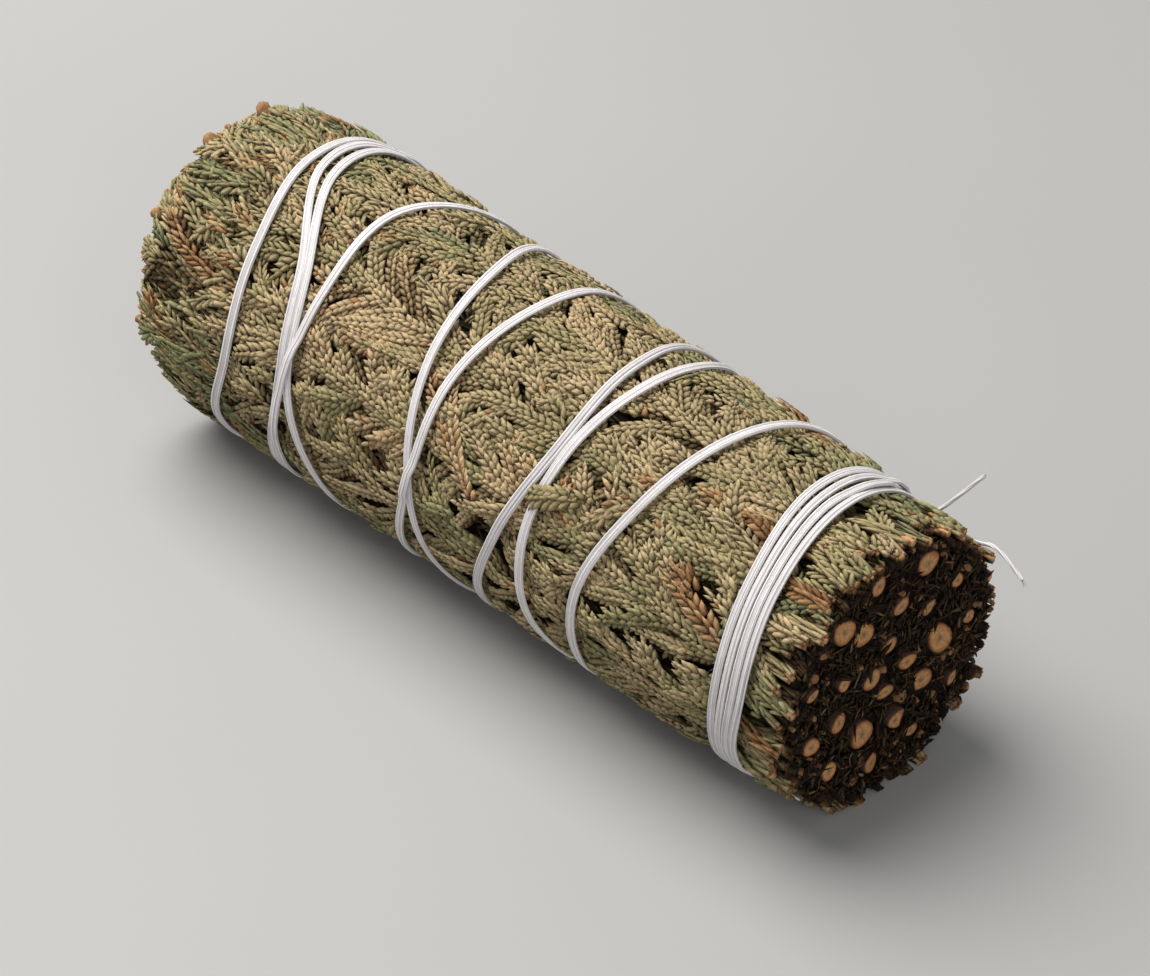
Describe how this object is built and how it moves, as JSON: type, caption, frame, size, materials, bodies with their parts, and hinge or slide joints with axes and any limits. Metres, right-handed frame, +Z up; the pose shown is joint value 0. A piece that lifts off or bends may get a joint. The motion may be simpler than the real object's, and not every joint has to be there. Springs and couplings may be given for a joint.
{
  "type": "herbal incense bundle",
  "caption": "Dried conifer sprigs laid side by side, cut square at the butt and bound crosswise with white cotton thread, lying on its side.",
  "frame": {"origin": "on the surface under the middle of the whole bundle's box, thread tails included", "axes": "+X along the bundle towards its cut butt, +Z up"},
  "size_m": [0.1126, 0.0416, 0.0394],
  "materials": {
    "leaves": "matte",
    "stem_wood": "matte",
    "cotton": "matte"
  },
  "bodies": {
    "root": {"sprig_01_leaves": "leaves", "sprig_01_stem": "stem_wood", "sprig_02_leaves": "leaves", "sprig_02_stem": "stem_wood", "sprig_03_leaves": "leaves", "sprig_03_stem": "stem_wood", "sprig_04_leaves": "leaves", "sprig_04_stem": "stem_wood", "sprig_05_leaves": "leaves", "sprig_05_stem": "stem_wood", "sprig_06_leaves": "leaves", "sprig_06_stem": "stem_wood", "sprig_07_leaves": "leaves", "sprig_07_stem": "stem_wood", "sprig_08_leaves": "leaves", "sprig_08_stem": "stem_wood", "sprig_09_leaves": "leaves", "sprig_09_stem": "stem_wood", "sprig_10_leaves": "leaves", "sprig_10_stem": "stem_wood", "sprig_11_leaves": "leaves", "sprig_11_stem": "stem_wood", "sprig_12_leaves": "leaves", "sprig_12_stem": "stem_wood", "sprig_13_leaves": "leaves", "sprig_13_stem": "stem_wood", "sprig_14_leaves": "leaves", "sprig_14_stem": "stem_wood", "sprig_15_leaves": "leaves", "sprig_15_stem": "stem_wood", "sprig_16_leaves": "leaves", "sprig_16_stem": "stem_wood", "sprig_17_leaves": "leaves", "sprig_17_stem": "stem_wood", "sprig_18_leaves": "leaves", "sprig_18_stem": "stem_wood", "sprig_19_leaves": "leaves", "sprig_19_stem": "stem_wood", "sprig_20_leaves": "leaves", "sprig_20_stem": "stem_wood", "sprig_21_leaves": "leaves", "sprig_21_stem": "stem_wood", "sprig_22_leaves": "leaves", "sprig_22_stem": "stem_wood", "sprig_23_leaves": "leaves", "sprig_23_stem": "stem_wood", "sprig_24_leaves": "leaves", "sprig_24_stem": "stem_wood", "thread": "cotton"}
  },
  "joints": []
}
